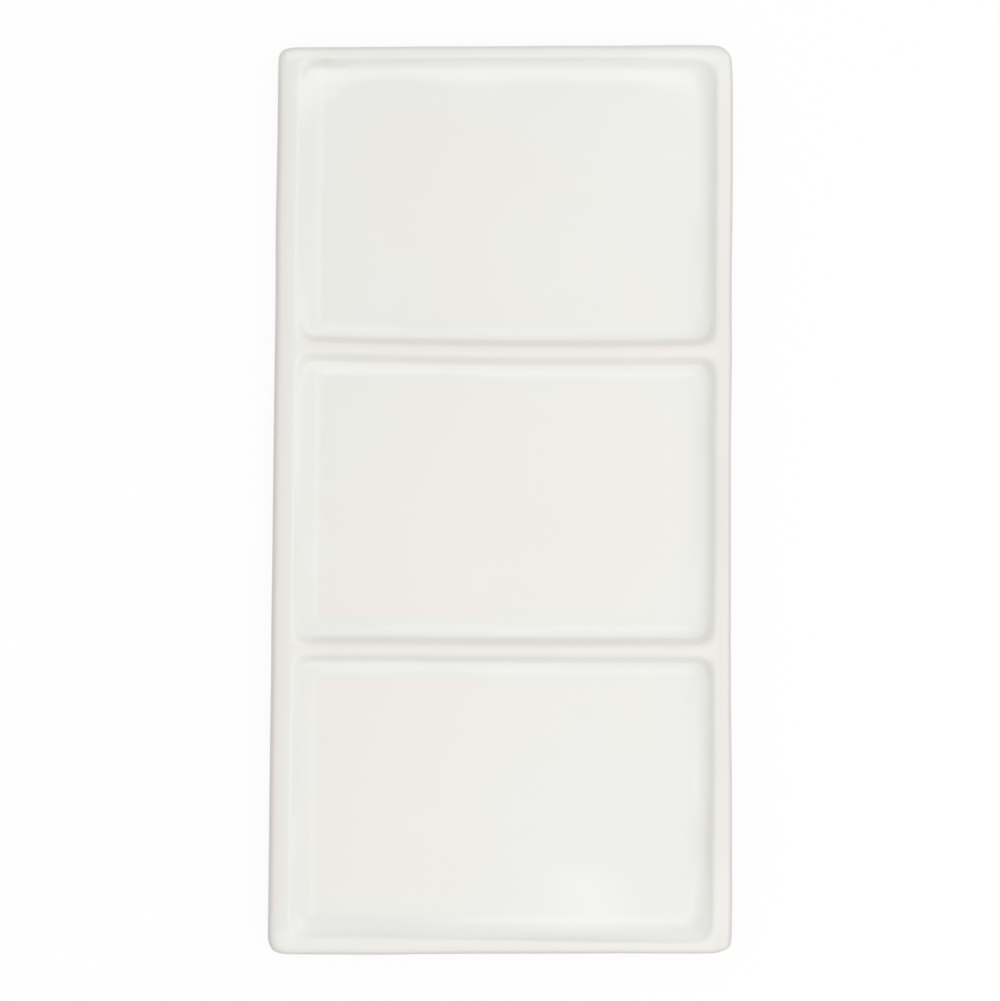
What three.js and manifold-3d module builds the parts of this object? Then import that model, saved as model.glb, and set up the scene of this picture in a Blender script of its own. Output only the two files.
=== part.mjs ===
// A rectangular serving plate with three compartments in a row, hand-built from stoneware clay.
// A rolled base slab carries four rim strips, mitred at the corners, and two dividers, coped to the
// rim. A coil is smoothed into the inside seam of each compartment, and a foot ring of four mitred
// strips lies under the slab. A thin layer of slip lutes each clay piece to the next.
//
// Millimetres. +X is the right side, +Y the far end and +Z up. The origin is the middle of the
// plate's footprint, on the surface that the plate stands on.
import * as THREE from "three";
import { mergeVertices } from "three/addons/utils/BufferGeometryUtils.js";
import Module from "manifold-3d";

const wasm = await Module();
wasm.setup();

// Overall size. The plate is formed by hand, so its two ends aren't alike.
const LENGTH = 356; // near end to far end
const NEAR_WIDTH = 182; // across the near end
const FAR_WIDTH = 178.6; // across the far end
const FAR_END_SHIFT = 2.1; // the far end's middle lies this far right of the near end's
const HEIGHT = 18; // from the table to the crest of the rim and the dividers
const CORNER_RADIUS = 7; // outer corners, in plan

// Base slab
const SLAB_THICKNESS = 7.5;
const SLAB_EDGE_RADIUS = 2; // lower edge

// Rim strips
const RIM_CREST = 1.6; // flat top, between the rounded edges
const RIM_OUTER_RADIUS = 3.2; // rounded edge on the outside
const RIM_INNER_RADIUS = 1.6; // rounded edge towards a compartment
const INNER_CORNER_RADIUS = 2.5; // inside corners, in plan

// Dividers
const DIVIDER_CREST = 1.8;
const DIVIDER_EDGE_RADIUS = 1.4;

// Lean of every wall face inside a compartment
const WALL_DRAFT = THREE.MathUtils.degToRad(22);

// Seam coils, smoothed to a hollow curve between floor and wall
const COIL_REACH = 4; // over the floor
const COIL_RISE = 3.5; // up the wall
const COIL_CORNER_RADIUS = 6; // at the coil's edge on the floor, in plan

// Foot ring
const FOOT_HEIGHT = 3;
const FOOT_WIDTH = 8;
const FOOT_INSET = 9; // from the plate's edge to the ring
const FOOT_EDGE_RADIUS = 1; // both lower edges
const FOOT_CORNER_RADIUS = 8; // corners of the ring, inside and outside, in plan

// Joints
const SLIP_GAP = 0.3; // layer of slip in mitres and copes, and between coils and walls

// Fineness of round stretches, and reach of the cutting tools past the clay
const CORNER_STEPS = 6;
const EDGE_STEPS = 4;
const COIL_STEPS = 5;
const CUT_MARGIN = 5;

const SIDES = ["near", "right", "far", "left"];
const COMPARTMENTS = ["near", "middle", "far"];
const DIVIDERS = ["near", "far"];

const glazedClay = new THREE.MeshStandardMaterial({ color: 0xecebe7, roughness: 0.25, metalness: 0 });
const bareClay = new THREE.MeshStandardMaterial({ color: 0xd8cebf, roughness: 0.9, metalness: 0 });

const slabTop = FOOT_HEIGHT + SLAB_THICKNESS;

// The plate's two ends, shifted so that the footprint's box is centred on the origin
const leftmost = Math.min(-NEAR_WIDTH / 2, FAR_END_SHIFT - FAR_WIDTH / 2);
const rightmost = Math.max(NEAR_WIDTH / 2, FAR_END_SHIFT + FAR_WIDTH / 2);
const nearMiddle = -(leftmost + rightmost) / 2;
const farMiddle = nearMiddle + FAR_END_SHIFT;

// X of the plate's side at y, moved in by `inset` square to the side. `hand` is -1 left, 1 right.
function sideX(hand, y, inset) {
  const near = nearMiddle + (hand * NEAR_WIDTH) / 2;
  const far = farMiddle + (hand * FAR_WIDTH) / 2;
  const lean = Math.atan((far - near) / LENGTH);
  return THREE.MathUtils.lerp(near, far, y / LENGTH + 0.5) - (hand * inset) / Math.cos(lean);
}

// The four corners between the plate's sides, from y0 to y1, counter-clockwise from near left
function quad(y0, y1, inset) {
  return [
    new THREE.Vector2(sideX(-1, y0, inset), y0),
    new THREE.Vector2(sideX(1, y0, inset), y0),
    new THREE.Vector2(sideX(1, y1, inset), y1),
    new THREE.Vector2(sideX(-1, y1, inset), y1),
  ];
}

// The plate's own outline, moved in by `inset` on all sides
function outline(inset) {
  return quad(-LENGTH / 2 + inset, LENGTH / 2 - inset, inset);
}

// A closed level loop round a polygon at height z, with an arc of `radius` at each corner
function roundedLoop(corners, radius, z) {
  return corners.flatMap((corner, i) => {
    const back = corners.at(i - 1).clone().sub(corner).normalize();
    const ahead = corners[(i + 1) % corners.length].clone().sub(corner).normalize();
    const halfAngle = Math.acos(back.dot(ahead)) / 2;
    const middle = back.clone().add(ahead).normalize();
    const centre = corner.clone().addScaledVector(middle, radius / Math.sin(halfAngle));
    const first = Math.atan2(-middle.y, -middle.x) - (Math.PI / 2 - halfAngle);
    return Array.from({ length: CORNER_STEPS + 1 }, (_, k) => {
      const angle = first + ((Math.PI - 2 * halfAngle) * k) / CORNER_STEPS;
      return new THREE.Vector3(centre.x + radius * Math.cos(angle), centre.y + radius * Math.sin(angle), z);
    });
  });
}

// Triangles between loops of equal length. The last loop joins the first where `closed`.
function skin(loops, closed) {
  const count = loops[0].length;
  const faces = [];
  for (let i = 0; i < loops.length - (closed ? 0 : 1); i++) {
    const low = i * count;
    const high = ((i + 1) % loops.length) * count;
    for (let j = 0; j < count; j++) {
      const next = (j + 1) % count;
      faces.push(low + j, low + next, high + next, low + j, high + next, high + j);
    }
  }
  return faces;
}

function geometryOf(loops, faces) {
  return new THREE.BufferGeometry().setFromPoints(loops.flat()).setIndex(faces);
}

// A closed ring: its section is given by the loops, from the outer foot up and over to the inner foot
function ring(loops) {
  return geometryOf(loops, skin(loops, true));
}

// A solid between the first loop, at the bottom, and the last, at the top
function stack(loops) {
  const count = loops[0].length;
  const topStart = (loops.length - 1) * count;
  const flat = THREE.ShapeUtils.triangulateShape(
    loops[0].map((p) => new THREE.Vector2(p.x, p.y)),
    [],
  );
  const bottom = flat.flatMap(([a, b, c]) => [a, c, b]);
  const top = flat.flatMap((face) => face.map((v) => v + topStart));
  return geometryOf(loops, [...skin(loops, false), ...bottom, ...top]);
}

// Solids for cutting, and back again
function solidOf(geometry) {
  const bare = geometry.clone();
  bare.deleteAttribute("normal");
  bare.deleteAttribute("uv");
  const merged = mergeVertices(bare);
  return new wasm.Manifold(
    new wasm.Mesh({
      numProp: 3,
      vertProperties: merged.getAttribute("position").array,
      triVerts: new Uint32Array(merged.index.array),
    }),
  );
}

function geometryFrom(solid) {
  const { vertProperties, triVerts } = solid.getMesh();
  return new THREE.BufferGeometry()
    .setAttribute("position", new THREE.BufferAttribute(vertProperties, 3))
    .setIndex(new THREE.BufferAttribute(triVerts, 1));
}

function piece(name, geometry, material) {
  geometry.computeVertexNormals();
  const mesh = new THREE.Mesh(geometry, material);
  mesh.name = name;
  return mesh;
}

// Points of a quarter round or less, from `from` to `to` degrees about a centre, in the section plane
function arc(x, z, radius, from, to) {
  const curve = new THREE.EllipseCurve(
    x,
    z,
    radius,
    radius,
    THREE.MathUtils.degToRad(from),
    THREE.MathUtils.degToRad(to),
    from > to,
  );
  return curve.getPoints(EDGE_STEPS);
}

// The face of a wall towards a compartment: from the edge of its flat crest, round and down to `foot`
function innerFace(crestEdge, radius, foot) {
  const lean = THREE.MathUtils.radToDeg(WALL_DRAFT);
  const shoulder = arc(crestEdge, HEIGHT - radius, radius, 90, lean);
  const { x, y } = shoulder.at(-1);
  return [...shoulder, new THREE.Vector2(x + (y - foot) * Math.tan(WALL_DRAFT), foot)];
}

// Four strips of a ring between two insets, parted at the corners by mitre cuts a layer of slip wide
function mitredStrips(prefix, ringGeometry, outerInset, innerInset, material) {
  const outer = outline(outerInset - CUT_MARGIN);
  const inner = outline(innerInset + CUT_MARGIN);
  const whole = solidOf(ringGeometry);
  return SIDES.map((side, i) => {
    const next = (i + 1) % SIDES.length;
    const along = outer[next].clone().sub(outer[i]).setLength(SLIP_GAP * Math.SQRT1_2);
    const wedge = new THREE.ExtrudeGeometry(
      new THREE.Shape([
        outer[i].clone().add(along),
        outer[next].clone().sub(along),
        inner[next].clone().sub(along),
        inner[i].clone().add(along),
      ]),
      { depth: HEIGHT + 2 * CUT_MARGIN, bevelEnabled: false },
    ).translate(0, 0, -CUT_MARGIN);
    return piece(`${prefix}_${side}`, geometryFrom(whole.intersect(solidOf(wedge))), material);
  });
}

// Base slab: a flat slab with its lower edge rounded
function baseSlab() {
  const edge = arc(SLAB_EDGE_RADIUS, FOOT_HEIGHT + SLAB_EDGE_RADIUS, SLAB_EDGE_RADIUS, 270, 180);
  const profile = [...edge, new THREE.Vector2(0, slabTop)];
  const loops = profile.map(({ x, y }) => roundedLoop(outline(x), CORNER_RADIUS - x, y));
  return piece("base_slab", stack(loops), glazedClay);
}

// Rim: upright outside, flat on its crest and drafted inside. `growth` thickens it all round, which
// makes the tool that copes the dividers.
const rimFace = innerFace(RIM_OUTER_RADIUS + RIM_CREST, RIM_INNER_RADIUS, slabTop);
const rimFoot = rimFace.at(-1).x;

function rimRing(growth) {
  const outerEdge = arc(RIM_OUTER_RADIUS, HEIGHT - RIM_OUTER_RADIUS, RIM_OUTER_RADIUS, 180, 90);
  const outside = [new THREE.Vector2(0, slabTop), ...outerEdge];
  const outerLoops = outside.map(({ x, y }) => roundedLoop(outline(x), CORNER_RADIUS - x, y));
  const innerLoops = rimFace.map(({ x, y }) => roundedLoop(outline(x + growth), INNER_CORNER_RADIUS, y));
  return ring([...outerLoops, ...innerLoops]);
}

function rimStrips() {
  return mitredStrips("rim", rimRing(0), 0, rimFoot, glazedClay);
}

// Dividers: drafted on both faces, spaced so that the compartments are equally long
const dividerFace = innerFace(DIVIDER_CREST / 2, DIVIDER_EDGE_RADIUS, slabTop);
const dividerFoot = dividerFace.at(-1).x;
const floorLength =
  (LENGTH - 2 * rimFoot - 2 * dividerFoot * DIVIDERS.length) / COMPARTMENTS.length;
const pitch = floorLength + 2 * dividerFoot;
const firstFloor = -LENGTH / 2 + rimFoot;

function dividers() {
  const cope = solidOf(rimRing(SLIP_GAP));
  const mirrored = dividerFace.map(({ x, y }) => new THREE.Vector2(-x, y));
  const section = new THREE.Shape([...dividerFace.toReversed(), ...mirrored]);
  const acrossPlate = new THREE.Matrix4().makeBasis(
    new THREE.Vector3(0, 1, 0),
    new THREE.Vector3(0, 0, 1),
    new THREE.Vector3(1, 0, 0),
  );
  return DIVIDERS.map((name, i) => {
    const y = firstFloor + floorLength + dividerFoot + i * pitch;
    const start = sideX(-1, y, rimFoot / 2);
    const end = sideX(1, y, rimFoot / 2);
    const bar = new THREE.ExtrudeGeometry(section, { depth: end - start, bevelEnabled: false });
    bar.applyMatrix4(acrossPlate).translate(start, y, 0);
    return piece(`divider_${name}`, geometryFrom(solidOf(bar).subtract(cope)), glazedClay);
  });
}

// Seam coils: each lies on the floor in the inside seam of its compartment, luted to the walls
function seamCoils() {
  const corner = new THREE.Vector2(SLIP_GAP, slabTop);
  const top = new THREE.Vector2(SLIP_GAP - COIL_RISE * Math.tan(WALL_DRAFT), slabTop + COIL_RISE);
  const toe = new THREE.Vector2(COIL_REACH, slabTop);
  const hollow = new THREE.QuadraticBezierCurve(top, corner, toe).getPoints(COIL_STEPS);
  return COMPARTMENTS.map((name, i) => {
    const y0 = firstFloor + i * pitch;
    const loops = [corner, ...hollow].map(({ x, y }) => {
      const spread = THREE.MathUtils.clamp(x / COIL_REACH, 0, 1);
      const radius = THREE.MathUtils.lerp(INNER_CORNER_RADIUS, COIL_CORNER_RADIUS, spread);
      return roundedLoop(quad(y0 + x, y0 + floorLength - x, rimFoot + x), radius, y);
    });
    return piece(`seam_coil_${name}`, ring(loops), glazedClay);
  });
}

// Foot ring: flat where it stands, with both lower edges rounded
function footStrips() {
  const inner = FOOT_INSET + FOOT_WIDTH;
  const outerEdge = arc(FOOT_INSET + FOOT_EDGE_RADIUS, FOOT_EDGE_RADIUS, FOOT_EDGE_RADIUS, 270, 180);
  const innerEdge = arc(inner - FOOT_EDGE_RADIUS, FOOT_EDGE_RADIUS, FOOT_EDGE_RADIUS, 360, 270);
  const profile = [
    ...outerEdge,
    new THREE.Vector2(FOOT_INSET, FOOT_HEIGHT),
    new THREE.Vector2(inner, FOOT_HEIGHT),
    ...innerEdge,
  ];
  const loops = profile.map(({ x, y }) => roundedLoop(outline(x), FOOT_CORNER_RADIUS, y));
  return mitredStrips("foot", ring(loops), FOOT_INSET, inner, bareClay);
}

const plate = new THREE.Group();
plate.add(baseSlab(), ...rimStrips(), ...dividers(), ...seamCoils(), ...footStrips());

export default plate;
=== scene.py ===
from math import hypot, radians

import bmesh
import bpy
import numpy as np
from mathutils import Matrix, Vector, noise


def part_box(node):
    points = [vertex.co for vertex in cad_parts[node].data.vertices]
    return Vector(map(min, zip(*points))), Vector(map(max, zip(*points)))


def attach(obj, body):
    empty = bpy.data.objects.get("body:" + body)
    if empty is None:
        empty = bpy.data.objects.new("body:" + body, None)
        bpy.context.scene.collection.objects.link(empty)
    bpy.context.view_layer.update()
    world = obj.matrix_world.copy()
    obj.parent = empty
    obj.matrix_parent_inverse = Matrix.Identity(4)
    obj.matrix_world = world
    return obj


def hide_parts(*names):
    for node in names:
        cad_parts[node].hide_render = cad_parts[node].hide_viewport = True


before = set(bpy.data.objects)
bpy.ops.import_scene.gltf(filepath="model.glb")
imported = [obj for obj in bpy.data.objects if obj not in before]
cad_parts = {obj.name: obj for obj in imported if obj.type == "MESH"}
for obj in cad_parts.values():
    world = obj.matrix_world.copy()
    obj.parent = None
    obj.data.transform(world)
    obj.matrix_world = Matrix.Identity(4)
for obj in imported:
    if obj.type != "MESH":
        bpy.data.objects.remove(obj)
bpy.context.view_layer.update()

# The formed clay. A hand builder lays a rolled slab, sets four rim strips and two dividers on it
# with slip, smooths a thin coil into every inside seam and puts a foot ring underneath. This is
# the shape that the hands leave: one cage of soft clay, a coat of glaze smaller than the plate.
GLAZE_THICKNESS = 0.0004
RIM_WIDTH = {"left": 0.0083, "right": 0.0069, "near": 0.00575, "far": 0.00505}
DIVIDER_HALF_WIDTH = 0.0019
# Where the crest of each rim begins and ends, from the outer edge.
CREST_LINES = {
    "left": (0.0030, 0.0070), "right": (0.0016, 0.0052),
    "near": (0.0022, 0.0044), "far": (0.0022, 0.0038),
}
# How far in and down the outer edge is eased, and how far the left rim leans down to its edge.
EDGE_EASE = 0.0007
EDGE_DROP = 0.0012
LEFT_LEAN = 0.0009
# The corners of the plan, by left or right side and near or far end.
CORNER_RADII = {(-1, -1): 0.006, (1, -1): 0.008, (1, 1): 0.008, (-1, 1): 0.005}
# The cage's lines on a floor: how far the first is from the wall, and about how far apart they are.
FIRST_FLOOR_LINE = 0.0104
FLOOR_STEP = 0.013
# Points closer than this are one point.
WELD = 0.00001
# How thick the glaze is on the crest, where 1 is a full coat. The thinner glaze on the crests, most
# of all on the right, is partly a painted shade that darkens them.
CREST_GLAZE_AND_SHADE = 0.33
LEFT_CREST_GLAZE = 0.41
LEFT_SHOULDER_GLAZE = 0.52
RIGHT_CREST_GLAZE_AND_SHADE = 0.24

slab_low, slab_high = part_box("base_slab")
half_length = slab_high.y - GLAZE_THICKNESS
half_width = slab_high.x - GLAZE_THICKNESS
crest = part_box("rim_near")[1].z - GLAZE_THICKNESS
floor = slab_high.z - GLAZE_THICKNESS
divider_near = sum(corner.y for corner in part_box("divider_near")) / 2
divider_far = sum(corner.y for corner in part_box("divider_far")) / 2
compartments = (
    (RIM_WIDTH["near"] - half_length, divider_near - DIVIDER_HALF_WIDTH),
    (divider_near + DIVIDER_HALF_WIDTH, divider_far - DIVIDER_HALF_WIDTH),
    (divider_far + DIVIDER_HALF_WIDTH, half_length - RIM_WIDTH["far"]),
)
left_shoulder = RIM_WIDTH["left"] - half_width
right_shoulder = half_width - RIM_WIDTH["right"]
near_shoulder = compartments[0][0]
far_shoulder = compartments[-1][1]


def floor_lines(start, end):
    """The lines of the cage across one compartment, closer together at its walls."""
    first = start + FIRST_FLOOR_LINE
    last = end - FIRST_FLOOR_LINE
    steps = round((last - first) / FLOOR_STEP)
    between = [first + (last - first) * step / steps for step in range(steps + 1)]
    return [start, *between, end]


columns = [EDGE_EASE - half_width]
columns += [reach - half_width for reach in CREST_LINES["left"]]
columns += floor_lines(left_shoulder, right_shoulder)
columns += [half_width - reach for reach in reversed(CREST_LINES["right"])]
columns += [half_width - EDGE_EASE]
rows = [EDGE_EASE - half_length]
rows += [reach - half_length for reach in CREST_LINES["near"]]
for start, end in compartments:
    rows += floor_lines(start, end)
rows += [half_length - reach for reach in reversed(CREST_LINES["far"])]
rows += [half_length - EDGE_EASE]

cage = bmesh.new()
# The glaze's thickness at each point; it also carries painted light in the seams and painted shade
# on the crests and the left foot.
glaze_depth_and_painted_light = cage.verts.layers.float.new("glaze_depth_and_painted_light")
coil_share = cage.verts.layers.float.new("coil_share")


def lay_sheet():
    """A flat sheet in the cage with all the lines across and along, and with the round corners."""
    across = len(columns) - 1
    along = len(rows) - 1
    sheet = bmesh.ops.create_grid(cage, x_segments=across, y_segments=along, size=1)["verts"]
    for index, vertex in enumerate(sheet):
        x = columns[index % len(columns)]
        y = rows[index // len(columns)]
        to_side = 1 if x > 0 else -1
        to_end = 1 if y > 0 else -1
        radius = CORNER_RADII[(to_side, to_end)]
        beyond_x = abs(x) - half_width + radius
        beyond_y = abs(y) - half_length + radius
        if beyond_x > 0 and beyond_y > 0:
            inwards = 1 - max(beyond_x, beyond_y) / hypot(beyond_x, beyond_y)
            x -= inwards * beyond_x * to_side
            y -= inwards * beyond_y * to_end
        vertex.co = (x, y, 0)
    return sheet


for vertex in lay_sheet():
    vertex.co.z = crest - EDGE_DROP if vertex.is_boundary else crest
    # The crest's thin glaze is partly a painted shade.
    vertex[glaze_depth_and_painted_light] = CREST_GLAZE_AND_SHADE
    if vertex.co.x < left_shoulder:
        vertex[glaze_depth_and_painted_light] = LEFT_SHOULDER_GLAZE
    if vertex.co.x < CREST_LINES["left"][0] - half_width + WELD:
        vertex[glaze_depth_and_painted_light] = LEFT_CREST_GLAZE
        vertex.co.z -= LEFT_LEAN
    # The right crest's thinner glaze is more of a painted shade.
    if vertex.co.x > right_shoulder:
        vertex[glaze_depth_and_painted_light] = RIGHT_CREST_GLAZE_AND_SHADE

# The compartments. The floor of each is the slab's own top, and its walls are rim and dividers. A
# thin coil of clay is smoothed into the seam all round by hand, fuller in one place than in
# another, and the glaze gathers there. Its whiter colour in the seams is partly gathered glaze and
# partly a painted highlight and painted light against the shade at the walls.

# Each ring of a wall: how far in, which share of the depth down, how thick the glaze is, which in
# the thickest rings also paints a highlight and lifts the wall's shade, and how much of the
# smoothed coil is in it.
WALL_RINGS = (
    (0.0008, 0.36, 0.70, 0.5), (0.0010, 0.32, 0.85, 0.85), (0.0015, 0.22, 1.0, 0.9),
    (0.0024, 0.10, 0.9, 0.2), (0.0028, 0.0, 0.65, 0.05),
)
COIL_WAVE = 0.0010
COIL_WAVE_LENGTH = 0.026
# On the left the coil is so full that the wall is one ramp: how wide, and how hollow it is.
LEFT_RAMP = 0.0085
LEFT_RAMP_HOLLOW = 1.15
# How full the coil is along the other walls: along the right rim, and at four places from left to
# right along the near wall and the far wall of each compartment.
RIGHT_FILL = 0.0006
NEAR_FILLS = (
    (0.0048, 0.0046, 0.0002, 0.0040), (0.0012, 0.0002, 0.0004, 0.0012),
    (0.0002, 0.0005, 0.0008, 0.0014),
)
FAR_FILLS = (
    (0.0006, 0.0008, 0.0012, 0.0020), (0.0013, 0.0012, 0.0014, 0.0030),
    (-0.0010, -0.0010, -0.0008, -0.0008),
)
FILL_PLACES = (0, 0.35, 0.70, 0.85)
FILL_REACH = 0.0095
# How full it is in the corners, and most of all in the plate's near right corner.
CORNER_FILL = 0.0032
CORNER_FILL_REACH = 0.013
NEAR_RIGHT_FILL = 0.0046
NEAR_RIGHT_FILL_LENGTH = 0.045
NEAR_RIGHT_FILL_WIDTH = 0.016
# How thick the glaze is. On the left ramp it is thick and white high up, as painted light on the
# shaded steep part, and thinner at the foot, as painted shade on the lit foot. It has run off the
# dividers' walls.
SHOULDER_GLAZE = 0.34
LEFT_WALL_GLAZE_AND_LIGHT = 0.85
LEFT_FOOT_GLAZE_AND_SHADE = 0.47
DIVIDER_WALL_GLAZE = 0.40
DIVIDER_WALL_REACH = 0.0025
FLOOR_GLAZE = 0.42
FLOOR_EDGE_GLAZE = 0.13
FLOOR_EDGE_REACH = 0.035


def points_of(faces):
    return {vertex for face in faces for vertex in face.verts}


def sink_floor(start, end):
    """Sinks one compartment's floor into the sheet, ring by ring of its wall."""
    pocket = []
    for face in cage.faces:
        middle = face.calc_center_median()
        if left_shoulder < middle.x < right_shoulder and start < middle.y < end:
            pocket.append(face)
    for vertex in points_of(pocket):
        on_left = vertex.co.x < left_shoulder + WELD
        vertex[glaze_depth_and_painted_light] = LEFT_SHOULDER_GLAZE if on_left else SHOULDER_GLAZE
    for inwards, share, glaze, coil in WALL_RINGS:
        bmesh.ops.inset_region(
            cage, faces=pocket, use_boundary=True, use_even_offset=True,
            thickness=inwards, depth=-share * (crest - floor),
        )
        for vertex in points_of(pocket):
            on_floor = all(face in pocket for face in vertex.link_faces)
            vertex[glaze_depth_and_painted_light] = FLOOR_GLAZE if on_floor else glaze
            vertex[coil_share] = 0 if on_floor else coil


for (start, end), near_fills, far_fills in zip(compartments, NEAR_FILLS, FAR_FILLS):
    sink_floor(start, end)
    for vertex in cage.verts:
        from_left = vertex.co.x - left_shoulder
        from_right = right_shoulder - vertex.co.x
        from_near = vertex.co.y - start
        from_far = end - vertex.co.y
        from_side = min(from_left, from_right)
        from_end = min(from_near, from_far)
        from_near_rim = vertex.co.y - near_shoulder
        from_far_rim = far_shoulder - vertex.co.y
        if min(from_side, from_end) < WELD:
            continue
        if not vertex[coil_share]:
            from_cool_rim = min(from_right, from_near_rim, from_far_rim)
            at_edge = max(0, 1 - from_cool_rim / FLOOR_EDGE_REACH)
            vertex[glaze_depth_and_painted_light] += FLOOR_EDGE_GLAZE * at_edge
            continue

        across = from_left / (right_shoulder - left_shoulder)
        from_corner = hypot(from_side, from_end) / CORNER_FILL_REACH
        from_near_right = hypot(
            from_right / NEAR_RIGHT_FILL_LENGTH, from_near_rim / NEAR_RIGHT_FILL_WIDTH,
        )
        fullest = max(
            0, CORNER_FILL * (1 - from_corner), NEAR_RIGHT_FILL * (1 - from_near_right),
        )
        walls = (
            (RIGHT_FILL, from_right),
            (np.interp(across, FILL_PLACES, near_fills), from_near),
            (np.interp(across, FILL_PLACES, far_fills), from_far),
        )
        for fill, from_wall in walls:
            at_wall = max(0, 1 - from_wall / FILL_REACH)
            if abs(fill * at_wall) > abs(fullest):
                fullest = fill * at_wall
        wave = COIL_WAVE * noise.noise(vertex.co / COIL_WAVE_LENGTH)
        smoothed = vertex.co.z + fullest * vertex[coil_share]
        up_ramp = max(0, 1 - from_left / LEFT_RAMP) ** LEFT_RAMP_HOLLOW
        smoothed = max(smoothed, floor + up_ramp * (crest - floor))
        vertex.co.z = max(floor, smoothed + wave * vertex[coil_share])

        # On the left ramp: painted light on the steep part, painted shade at the lit foot.
        at_left = max(0, 1 - from_left / FILL_REACH)
        if at_left:
            glaze = LEFT_FOOT_GLAZE_AND_SHADE + (LEFT_WALL_GLAZE_AND_LIGHT - LEFT_FOOT_GLAZE_AND_SHADE) * at_left ** 2
            vertex[glaze_depth_and_painted_light] += (glaze - vertex[glaze_depth_and_painted_light]) * min(1, from_corner)
        from_divider = min(abs(vertex.co.y - middle) for middle in (divider_near, divider_far))
        if from_divider < DIVIDER_HALF_WIDTH + DIVIDER_WALL_REACH:
            vertex[glaze_depth_and_painted_light] = DIVIDER_WALL_GLAZE

# The run of the glaze. It melts in the kiln and flows: it is thin on the outer edge, thicker along
# the far rim and in the corners of both ends, uneven on the floors, and has left one thin streak
# at the left of the far wall. The thicker, whiter glaze along the far rim and in the corners is
# partly painted light against the walls' shade, and the streak is partly a painted shade.
EDGE_GLAZE = 0.05
FAR_EDGE_GLAZE = 0.25
# Each pool or lack: where it is, how far it reaches across and along, and how much thicker it is.
POOLS = (
    # The far rim pool and the corner pools are partly painted light against the walls' shade.
    (0, far_shoulder, 1.0, 0.014, 0.35), (-0.073, 0.160, 0.018, 0.018, 0.30),
    (right_shoulder - 0.014, 0.148, 0.016, 0.045, 0.30), (0.048, -0.155, 0.065, 0.024, 0.32),
    (left_shoulder, near_shoulder, 0.100, 0.012, 0.30),
    # The thin streak at the left of the far wall: partly a warm spot of thin glaze, partly a
    # painted shade in the wall's shade band.
    (-0.075, far_shoulder - 0.0012, 0.015, 0.0026, -1.2),
    (0.055, 0.127, 0.058, 0.055, 0.16), (-0.064, 0.098, 0.030, 0.065, 0.14),
    (0.010, 0.152, 0.050, 0.026, 0.10), (left_shoulder + 0.014, -0.022, 0.018, 0.040, 0.10),
    (0.022, -0.008, 0.080, 0.060, -0.08), (0.066, -0.004, 0.030, 0.035, -0.10),
    (0.045, -0.128, 0.045, 0.048, 0.24),
)

for vertex in cage.verts:
    for x, y, reach_across, reach_along, thicker in POOLS:
        from_pool = hypot((vertex.co.x - x) / reach_across, (vertex.co.y - y) / reach_along)
        vertex[glaze_depth_and_painted_light] += thicker * max(0, 1 - from_pool)
    if vertex.is_boundary:
        vertex[glaze_depth_and_painted_light] = FAR_EDGE_GLAZE if vertex.co.y > far_shoulder else EDGE_GLAZE

# The outside and the underside. The rim's outer face runs down flush with the slab's edge, and the
# glaze ends there. Underneath, the clay follows the slab, goes down round the foot ring and is
# flat inside it.

# Each ring of the outside, from the rim down to the glaze line: how far in, how high, how thick.
OUTSIDE_RINGS = (
    (-EDGE_EASE, 0.0130, 0.4), (0, 0.0100, 0.5), (0, 0.0078, 0.6), (0, 0.0062, 0.6),
    (0, 0.0050, 0.2),
)
# Each ring of the underside, from the slab's edge to its middle: how far in, how high.
UNDERSIDE_RINGS = (
    (0.0, 0.003), (0.004, 0.003), (0.0082, 0.003), (0.009, 0.003), (0.009, 0.0), (0.011, 0.0),
    (0.015, 0.0), (0.017, 0.0), (0.017, 0.003), (0.0178, 0.003), (0.022, 0.003), (0.040, 0.003),
    (0.065, 0.003),
)


def next_ring(inwards, height):
    """Draws the open edge of the cage on to a new level ring, so far in and so high."""
    open_edges = [edge for edge in cage.edges if edge.is_boundary]
    drawn = bmesh.ops.extrude_edge_only(cage, edges=open_edges)["geom"]
    ring = [item for item in drawn if isinstance(item, bmesh.types.BMVert)]
    narrower = 1 - inwards / max(vertex.co.x for vertex in ring)
    shorter = 1 - inwards / max(vertex.co.y for vertex in ring)
    bmesh.ops.scale(cage, verts=ring, vec=(narrower, shorter, 1))
    for vertex in ring:
        vertex.co.z = height
    return ring


for inwards, height, glaze in OUTSIDE_RINGS:
    for vertex in next_ring(inwards, height):
        vertex[glaze_depth_and_painted_light] = glaze
glazed_cage = cage.copy()
reached = 0
for inwards, height in UNDERSIDE_RINGS:
    last_ring = next_ring(inwards - reached, height)
    reached = inwards
underside = lay_sheet()
narrower = max(vertex.co.x for vertex in last_ring) / columns[-1]
shorter = max(vertex.co.y for vertex in last_ring) / rows[-1]
bmesh.ops.scale(cage, verts=underside, vec=(narrower, shorter, 1))
bmesh.ops.translate(cage, verts=underside, vec=(0, 0, last_ring[0].co.z))
bmesh.ops.remove_doubles(cage, verts=cage.verts, dist=WELD)
bmesh.ops.recalc_face_normals(cage, faces=cage.faces)

# The handwork. The plate is a little narrower at its far end, its right side is drawn in, its cross
# lines lean, and nothing on it is quite straight. A wet sponge then rounds all its edges.

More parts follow.
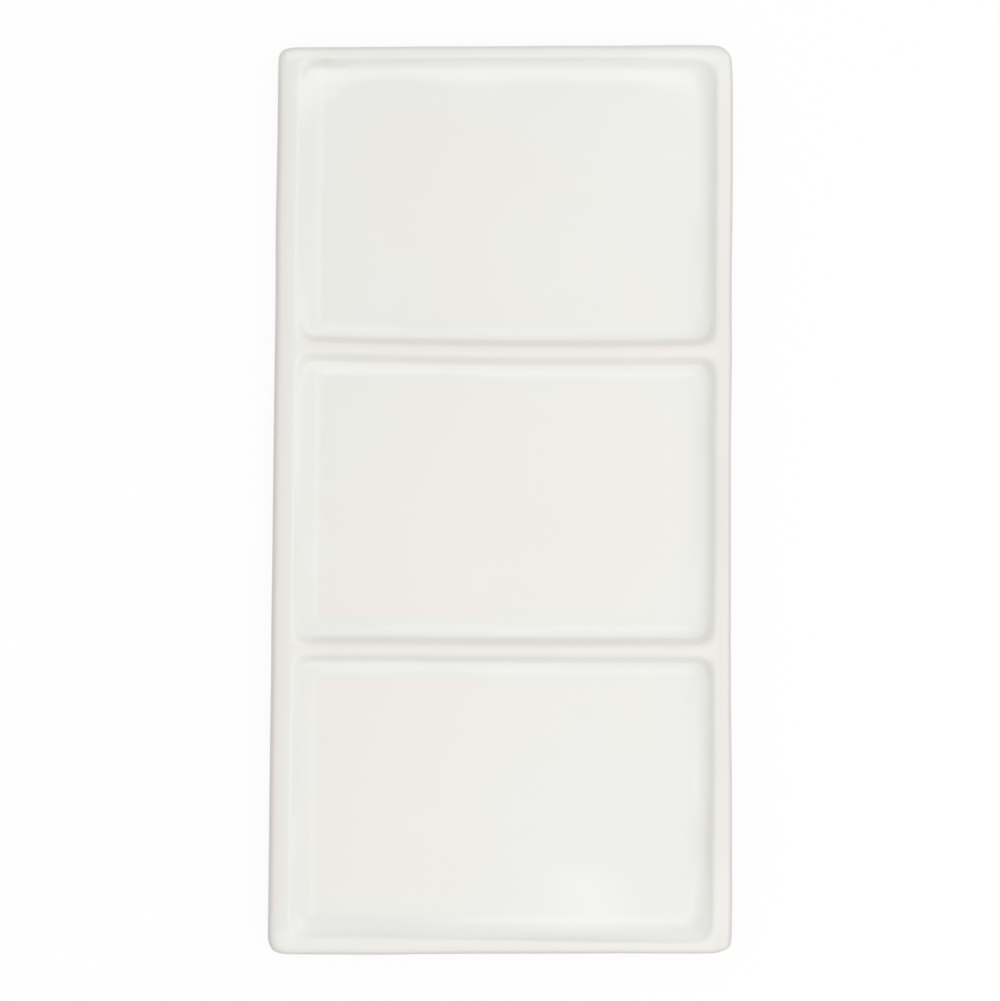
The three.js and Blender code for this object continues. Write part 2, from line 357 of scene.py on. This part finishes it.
# Each line has its distance off true at its start, its middle and its end: the cross lines from
# left to right, the long lines from near to far.
CROSS_LINES = (
    (-0.0001, 0.0002, 0.0004), (0.0014, 0, -0.0014), (-0.0002, -0.0006, -0.0010),
    (0.0020, 0, 0.0003), (-0.0008, 0.0001, -0.0004), (-0.0006, 0, 0.0004),
)
LONG_LINES = (
    (-0.0006, -0.0002, 0), (-0.0003, -0.0002, 0.0003), (-0.0009, -0.0001, 0.0003),
    (0.0001, -0.0007, 0.0001),
)
HAND_WAVE = 0.00025
HAND_WAVE_LENGTH = 0.045
HAND_WAVE_OCTAVES = 2
HAND_SEED = 5
SPONGE_LEVELS = 2

cross_rows = (rows[0], near_shoulder, divider_near, divider_far, far_shoulder, rows[-1])
long_columns = (columns[0], left_shoulder, right_shoulder, columns[-1])
slab_points = [vertex.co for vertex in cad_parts["base_slab"].data.vertices]
near_side = [point.x for point in slab_points if point.y < 0]
far_side = [point.x for point in slab_points if point.y > 0]


def bend(line, share):
    """How far off true a line is, so far along, if it bends evenly through its three places."""
    first, middle, last = line
    ends = first * (1 - share) * (1 - 2 * share) + last * share * (2 * share - 1)
    return ends + 4 * middle * share * (1 - share)


def form_by_hand(shape):
    """Moves a cage's points from the true rectangle to where the hands left them."""
    for vertex in shape.verts:
        x, y, z = vertex.co
        along = (y / half_length + 1) / 2
        across = (x / half_width + 1) / 2
        left = min(near_side) + (min(far_side) - min(near_side)) * along + GLAZE_THICKNESS
        right = max(near_side) + (max(far_side) - max(near_side)) * along - GLAZE_THICKNESS
        aside = np.interp(x, long_columns, [bend(line, along) for line in LONG_LINES])
        ahead = np.interp(y, cross_rows, [bend(line, across) for line in CROSS_LINES])
        place = Vector((x, y, z)) / HAND_WAVE_LENGTH
        wave = HAND_WAVE * noise.turbulence_vector(place, HAND_WAVE_OCTAVES, False)
        vertex.co.x = left + (right - left) * across + aside + wave.x
        vertex.co.y = y + ahead + wave.y
        vertex.co.z = z + wave.z * z / crest


def make_mesh(name, shape):
    """The mesh of a shape that is done."""
    mesh = bpy.data.meshes.new(name)
    shape.to_mesh(mesh)
    shape.free()
    return mesh


def add_object(name, data):
    thing = bpy.data.objects.new(name, data)
    bpy.context.scene.collection.objects.link(thing)
    return thing


def soften(piece):
    """Rounds a piece's cage as a wet sponge rounds clay."""
    sponge = piece.modifiers.new("sponge", "SUBSURF")
    sponge.levels = SPONGE_LEVELS
    sponge.render_levels = SPONGE_LEVELS


noise.seed_set(HAND_SEED)
form_by_hand(cage)
form_by_hand(glazed_cage)
clay_form = add_object("formed_clay", make_mesh("formed_clay", cage))
soften(clay_form)
depsgraph = bpy.context.evaluated_depsgraph_get()
formed_clay = bpy.data.meshes.new_from_object(clay_form.evaluated_get(depsgraph))
bpy.data.objects.remove(clay_form)

# The slab. A sheet of buff stoneware, rolled flat and cut to the plate's outline. Its top is the
# floor of the compartments, with the coils smoothed into it, and its underside is left bare.
SEAM_RISE = 0.0006
FOOT_SEAM = 0.0004
CUT_EDGE = radians(40)
CLAY_PALE = (0.62, 0.53, 0.42, 1)
CLAY_DARK = (0.50, 0.40, 0.29, 1)
CLAY_SPECK = (0.20, 0.14, 0.09, 1)
SPECK_STRENGTH = 0.7
CLAY_ROUGHNESS = (0.78, 0.92)
# Where a Mix node keeps its two colours and its mixed colour.
FIRST_COLOUR = 6
SECOND_COLOUR = 7
MIXED_COLOUR = 2


def add_node(tree, kind, values=(), **settings):
    """A shader node with its settings, and with the values of its sockets."""
    node = tree.nodes.new(kind)
    for name, value in settings.items():
        setattr(node, name, value)
    for socket, value in dict(values).items():
        node.inputs[socket].default_value = value
    return node


def make_clouds_group():
    """Soft patches on a surface: how many to the metre, how fine, and where they begin and end."""
    group = bpy.data.node_groups.new("clouds", "ShaderNodeTree")
    for name in ("Per Metre", "Detail", "Begin", "End"):
        group.interface.new_socket(name, in_out="INPUT", socket_type="NodeSocketFloat")
    group.interface.new_socket("Mask", in_out="OUTPUT", socket_type="NodeSocketFloat")
    given = add_node(group, "NodeGroupInput")
    result = add_node(group, "NodeGroupOutput")
    place = add_node(group, "ShaderNodeTexCoord")
    patches = add_node(group, "ShaderNodeTexNoise")
    edges = add_node(group, "ShaderNodeMapRange", interpolation_type="SMOOTHSTEP")
    group.links.new(place.outputs["Object"], patches.inputs["Vector"])
    group.links.new(given.outputs["Per Metre"], patches.inputs["Scale"])
    group.links.new(given.outputs["Detail"], patches.inputs["Detail"])
    group.links.new(patches.outputs["Fac"], edges.inputs["Value"])
    group.links.new(given.outputs["Begin"], edges.inputs["From Min"])
    group.links.new(given.outputs["End"], edges.inputs["From Max"])
    group.links.new(edges.outputs["Result"], result.inputs["Mask"])
    return group


clouds_group = make_clouds_group()


def add_clouds(tree, per_metre, detail, begin, end):
    """The mask of clouds of one size, placed in one material."""
    values = {"Per Metre": per_metre, "Detail": detail, "Begin": begin, "End": end}
    return add_node(tree, "ShaderNodeGroup", values, node_tree=clouds_group).outputs["Mask"]


def add_mix(tree, share, first, second):
    """Two colours mixed by a mask; each is a colour or another node's output."""
    node = add_node(tree, "ShaderNodeMix", data_type="RGBA")
    tree.links.new(share, node.inputs["Factor"])
    for socket, colour in ((FIRST_COLOUR, first), (SECOND_COLOUR, second)):
        if isinstance(colour, tuple):
            node.inputs[socket].default_value = colour
        else:
            tree.links.new(colour, node.inputs[socket])
    return node.outputs[MIXED_COLOUR]


def add_range(tree, mask, low, high):
    """A value that goes from low to high as a mask goes from 0 to 1."""
    node = add_node(tree, "ShaderNodeMapRange", {"To Min": low, "To Max": high})
    tree.links.new(mask, node.inputs["Value"])
    return node.outputs["Result"]


def add_bump(tree, shader, height, strength, distance):
    """Raises a surface a little where a mask is high."""
    bump = add_node(tree, "ShaderNodeBump", {"Strength": strength, "Distance": distance})
    tree.links.new(height, bump.inputs["Height"])
    tree.links.new(bump.outputs["Normal"], shader.inputs["Normal"])


def start_material(name):
    """A new material, its node tree and its shader."""
    material = bpy.data.materials.new(name)
    material.use_nodes = True
    tree = material.node_tree
    return material, tree, tree.nodes["Principled BSDF"]


def make_clay_material():
    """Fired stoneware without glaze: dry and buff, with darker patches, specks and a fine grain."""
    material, tree, shader = start_material("bare_stoneware")
    blush = add_clouds(tree, per_metre=26, detail=4, begin=0.35, end=0.68)
    specks = add_clouds(tree, per_metre=900, detail=1, begin=0.70, end=0.76)
    grain = add_clouds(tree, per_metre=1500, detail=3, begin=0.25, end=0.75)
    patched = add_mix(tree, blush, CLAY_PALE, CLAY_DARK)
    speckled = add_mix(tree, add_range(tree, specks, 0, SPECK_STRENGTH), patched, CLAY_SPECK)
    tree.links.new(speckled, shader.inputs["Base Color"])
    tree.links.new(add_range(tree, grain, *CLAY_ROUGHNESS), shader.inputs["Roughness"])
    add_bump(tree, shader, grain, strength=0.35, distance=0.00015)
    return material


clay_material = make_clay_material()


def upright_cut(start, end):
    """An upright plane through two points of the plan; what lies to the right of it is cut off."""
    way = end - start
    return start, Vector((way.y, -way.x, 0))


def cut_clay(name, cuts):
    """The piece of the formed clay that lies behind all the cuts, closed where it is cut."""
    shape = bmesh.new()
    shape.from_mesh(formed_clay)
    for point, outwards in cuts:
        everything = shape.verts[:] + shape.edges[:] + shape.faces[:]
        cut = bmesh.ops.bisect_plane(
            shape, geom=everything, plane_co=point, plane_no=outwards, clear_outer=True,
        )
        rim = [item for item in cut["geom_cut"] if isinstance(item, bmesh.types.BMEdge)]
        bmesh.ops.triangle_fill(shape, edges=rim, use_beauty=True)
    bmesh.ops.recalc_face_normals(shape, faces=shape.faces)
    mesh = make_mesh(name, shape)
    mesh.materials.append(clay_material)
    mesh.shade_smooth()
    mesh.set_sharp_from_angle(angle=CUT_EDGE)
    piece = add_object(name, mesh)
    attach(piece, "root")
    return piece


up = Vector((0, 0, 1))
on_slab = Vector((0, 0, floor + SEAM_RISE))
under_slab = Vector((0, 0, slab_low.z - FOOT_SEAM))
slab_clay = cut_clay("slab_clay", ((on_slab, up), (under_slab, -up)))
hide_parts("base_slab", "seam_coil_near", "seam_coil_middle", "seam_coil_far")

# The rim. Four strips of the same clay stand on the slab's edge. Their ends are mitred, scored
# and luted together with slip at the corners.
SIDES = ("near", "right", "far", "left")
RIM_REACH = 0.0165

near_left = Vector((min(near_side), -slab_high.y, 0))
near_right = Vector((max(near_side), -slab_high.y, 0))
far_right = Vector((max(far_side), slab_high.y, 0))
far_left = Vector((min(far_side), slab_high.y, 0))
outer_corners = (near_left, near_right, far_right, far_left)
inner_corners = (
    near_left + Vector((RIM_REACH, RIM_REACH, 0)),
    near_right + Vector((-RIM_REACH, RIM_REACH, 0)),
    far_right + Vector((-RIM_REACH, -RIM_REACH, 0)),
    far_left + Vector((RIM_REACH, -RIM_REACH, 0)),
)


def mitres(side, following):
    """The two upright cuts at the ends of the strip that runs from one corner to the next."""
    return (
        upright_cut(inner_corners[side], outer_corners[side]),
        upright_cut(outer_corners[following], inner_corners[following]),
    )


for side, name in enumerate(SIDES):
    following = (side + 1) % len(SIDES)
    inner_face = upright_cut(inner_corners[following], inner_corners[side])
    cuts = ((on_slab, -up), *mitres(side, following), inner_face)
    strip = cut_clay(f"rim_{name}_clay", cuts)
    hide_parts(f"rim_{name}")

# The dividers. Two strips of clay run across the slab from rim to rim. Each is luted to the slab
# along its foot and to the rim at its ends, where the clay is drawn out a little.
DIVIDER_REACH = 0.013

for name, middle in (("near", divider_near), ("far", divider_far)):
    between = (
        upright_cut(inner_corners[1], inner_corners[2]),
        upright_cut(inner_corners[3], inner_corners[0]),
        (Vector((0, middle - DIVIDER_REACH, 0)), Vector((0, -1, 0))),
        (Vector((0, middle + DIVIDER_REACH, 0)), Vector((0, 1, 0))),
    )
    divider = cut_clay(f"divider_{name}_clay", ((on_slab, -up), *between))
    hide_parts(f"divider_{name}")

# The foot. Four strips of clay under the slab make a ring that the plate stands on. It is wiped
# clean of glaze, so that the plate doesn't stick to the kiln shelf.
for side, name in enumerate(SIDES):
    following = (side + 1) % len(SIDES)
    inwards = upright_cut(outer_corners[following], outer_corners[side])[1]
    past_middle = (Vector(), inwards)
    cuts = ((under_slab, up), *mitres(side, following), past_middle)
    strip = cut_clay(f"foot_{name}_clay", cuts)
    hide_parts(f"foot_{name}")

# The glaze. The plate is dipped as far as the foot in a white glaze, which fires to a glossy coat.
# It is thin over the edges, where the clay warms it, cooler where it is thicker, and whitest where
# it gathers in the seams; that white is partly a painted highlight and painted light.
GLAZE_THIN = (0.735, 0.695, 0.658, 1)
GLAZE_WARM = (0.856, 0.826, 0.791, 1)
GLAZE_COOL = (0.834, 0.842, 0.802, 1)
# The two whitest colours: partly gathered glaze, partly a painted highlight and painted light.
GLAZE_GATHERED_AND_HIGHLIGHT = (0.896, 0.896, 0.868, 1)
GLAZE_FULLEST_AND_HIGHLIGHT = (0.896, 0.896, 0.890, 1)
GLAZE_ROUGHNESS = (0.16, 0.26)
# Between which thicknesses it comes to hide the clay, to cool, to gather and to be fullest; the
# last two also paint the highlight.
HIDES_CLAY = (0.0, 0.40)
COOLS = (0.46, 0.56)
GATHERS_AND_LIGHTENS = (0.55, 0.95)
IS_FULLEST = (1.04, 1.16)
# How much thicker the clouds make it, and how much less of it gathers between the pools.
CLOUD_GLAZE = 0.10
POOL_LACK = 0.30
# How its lower edge wanders.
LINE_WAVE = 0.0007
LINE_WAVE_LENGTH = 0.025


def add_math(tree, operation, first, second):
    node = add_node(tree, "ShaderNodeMath", operation=operation)
    tree.links.new(first, node.inputs[0])
    tree.links.new(second, node.inputs[1])
    return node.outputs["Value"]


def add_step(tree, thickness, begin, end):
    """A mask that rises softly from 0 to 1 while the glaze gets thicker."""
    limits = {"From Min": begin, "From Max": end}
    node = add_node(tree, "ShaderNodeMapRange", limits, interpolation_type="SMOOTHSTEP")
    tree.links.new(thickness, node.inputs["Value"])
    return node.outputs["Result"]


def make_glaze_material():
    """Glossy white glaze: thin on edges, warm and cool on floors, a bit wavy, and gathered in seams
    with a painted highlight.
    """
    material, tree, shader = start_material("glazed_stoneware")
    depth = add_node(tree, "ShaderNodeAttribute", attribute_name="glaze_depth_and_painted_light").outputs["Fac"]
    clouds = add_clouds(tree, per_metre=15, detail=3, begin=0.40, end=0.60)
    pools = add_clouds(tree, per_metre=12, detail=1, begin=0.30, end=0.54)
    wear = add_clouds(tree, per_metre=60, detail=2, begin=0.25, end=0.75)
    ripple = add_clouds(tree, per_metre=55, detail=1, begin=0.0, end=1.0)
    clouded = add_math(tree, "ADD", depth, add_range(tree, clouds, 0, CLOUD_GLAZE))
    settled = add_math(tree, "SUBTRACT", depth, add_range(tree, pools, POOL_LACK, 0))
    body = add_mix(tree, add_step(tree, clouded, *COOLS), GLAZE_WARM, GLAZE_COOL)
    edged = add_mix(tree, add_step(tree, depth, *HIDES_CLAY), GLAZE_THIN, body)
    # The gathered and fullest whites are partly a painted highlight and painted light in the seams.
    white = add_mix(tree, add_step(tree, depth, *IS_FULLEST), GLAZE_GATHERED_AND_HIGHLIGHT, GLAZE_FULLEST_AND_HIGHLIGHT)
    coat = add_mix(tree, add_step(tree, settled, *GATHERS_AND_LIGHTENS), edged, white)
    tree.links.new(coat, shader.inputs["Base Color"])
    tree.links.new(add_range(tree, wear, *GLAZE_ROUGHNESS), shader.inputs["Roughness"])
    add_bump(tree, shader, ripple, strength=0.3, distance=0.0002)
    return material


for vertex in glazed_cage.verts:
    if vertex.is_boundary:
        vertex.co.z += LINE_WAVE * noise.noise(vertex.co / LINE_WAVE_LENGTH)
bmesh.ops.recalc_face_normals(glazed_cage, faces=glazed_cage.faces)
glaze_mesh = make_mesh("glaze_coat", glazed_cage)
glaze_mesh.materials.append(make_glaze_material())
glaze_mesh.shade_smooth()
glaze_coat = add_object("glaze_coat", glaze_mesh)
dip = glaze_coat.modifiers.new("dip", "SOLIDIFY")
dip.thickness = GLAZE_THICKNESS
dip.offset = 1
dip.use_even_offset = True
soften(glaze_coat)
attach(glaze_coat, "root")

# The studio floor. A wide white sweep that the plate stands on. It shows white to the camera and
# in the gloss, keeps the plate's soft shadow and sends back only some of the light.
FLOOR_SIZE = 6.0
FLOOR_ROUGHNESS = 0.9
FLOOR_BOUNCE = (0.35, 0.35, 0.35, 1)
FLOOR_GLOW = 0.92
WHITE = (1, 1, 1, 1)


def add_seen_white(tree):
    """A mask that is 1 for what the camera, the gloss and clear things see."""
    path = add_node(tree, "ShaderNodeLightPath")
    seen = path.outputs["Is Camera Ray"]
    for name in ("Is Glossy Ray", "Is Transmission Ray"):
        seen = add_math(tree, "MAXIMUM", seen, path.outputs[name])
    return seen


floor_material, tree, sheen = start_material("studio_floor")
sheen.inputs["Roughness"].default_value = FLOOR_ROUGHNESS
sheen.inputs["Specular IOR Level"].default_value = 0.0
seen = add_seen_white(tree)
tree.links.new(add_mix(tree, seen, FLOOR_BOUNCE, WHITE), sheen.inputs["Base Color"])
glow = add_node(tree, "ShaderNodeEmission", {"Color": WHITE, "Strength": 1.0})
blend = add_node(tree, "ShaderNodeMixShader")
tree.links.new(add_range(tree, seen, 0, FLOOR_GLOW), blend.inputs["Fac"])
tree.links.new(sheen.outputs["BSDF"], blend.inputs[1])
tree.links.new(glow.outputs["Emission"], blend.inputs[2])
tree.links.new(blend.outputs["Shader"], tree.nodes["Material Output"].inputs["Surface"])
sweep = bmesh.new()
bmesh.ops.create_grid(sweep, x_segments=2, y_segments=2, size=FLOOR_SIZE / 2)
sweep_mesh = make_mesh("studio_floor", sweep)
sweep_mesh.materials.append(floor_material)
studio_floor = add_object("studio_floor", sweep_mesh)

# The light. An evenly white room, and one soft box that hangs high on the right and is turned to
# the middle of the plate. The room shows full white to the camera and in the gloss.
ROOM_LIGHT = 0.82
ROOM_SEEN = 1.0
BOX_PLACE = (0.42, -0.12, 0.76)
BOX_SIZE = 1.1
BOX_WATTS = 2.25

room = bpy.data.worlds.new("white_room")
room.use_nodes = True
tree = room.node_tree
background = tree.nodes["Background"]
background.inputs["Color"].default_value = WHITE
level = add_range(tree, add_seen_white(tree), ROOM_LIGHT, ROOM_SEEN)
tree.links.new(level, background.inputs["Strength"])
bpy.context.scene.world = room
lamp = bpy.data.lights.new("soft_box", "AREA")
lamp.shape = "SQUARE"
lamp.size = BOX_SIZE
lamp.energy = BOX_WATTS
soft_box = add_object("soft_box", lamp)
soft_box.location = BOX_PLACE
soft_box.rotation_euler = Vector(BOX_PLACE).to_track_quat("Z", "Y").to_euler()
soft_box.visible_camera = False

# The camera. It looks straight down on the middle of the plate with a long lens, from so high that
# the view takes in the whole length with a margin at both ends.
LENS = 100
SENSOR = 36
VIEW_HEIGHT = 0.3904
VIEW_MIDDLE = (-0.0004, -0.0001)

camera_data = bpy.data.cameras.new("overhead_camera")
camera_data.lens = LENS
camera_data.sensor_fit = "VERTICAL"
camera_data.sensor_height = SENSOR
camera = add_object("overhead_camera", camera_data)
camera.location = (*VIEW_MIDDLE, crest + VIEW_HEIGHT * LENS / SENSOR)
bpy.context.scene.camera = camera
bpy.context.scene.view_settings.view_transform = "Standard"
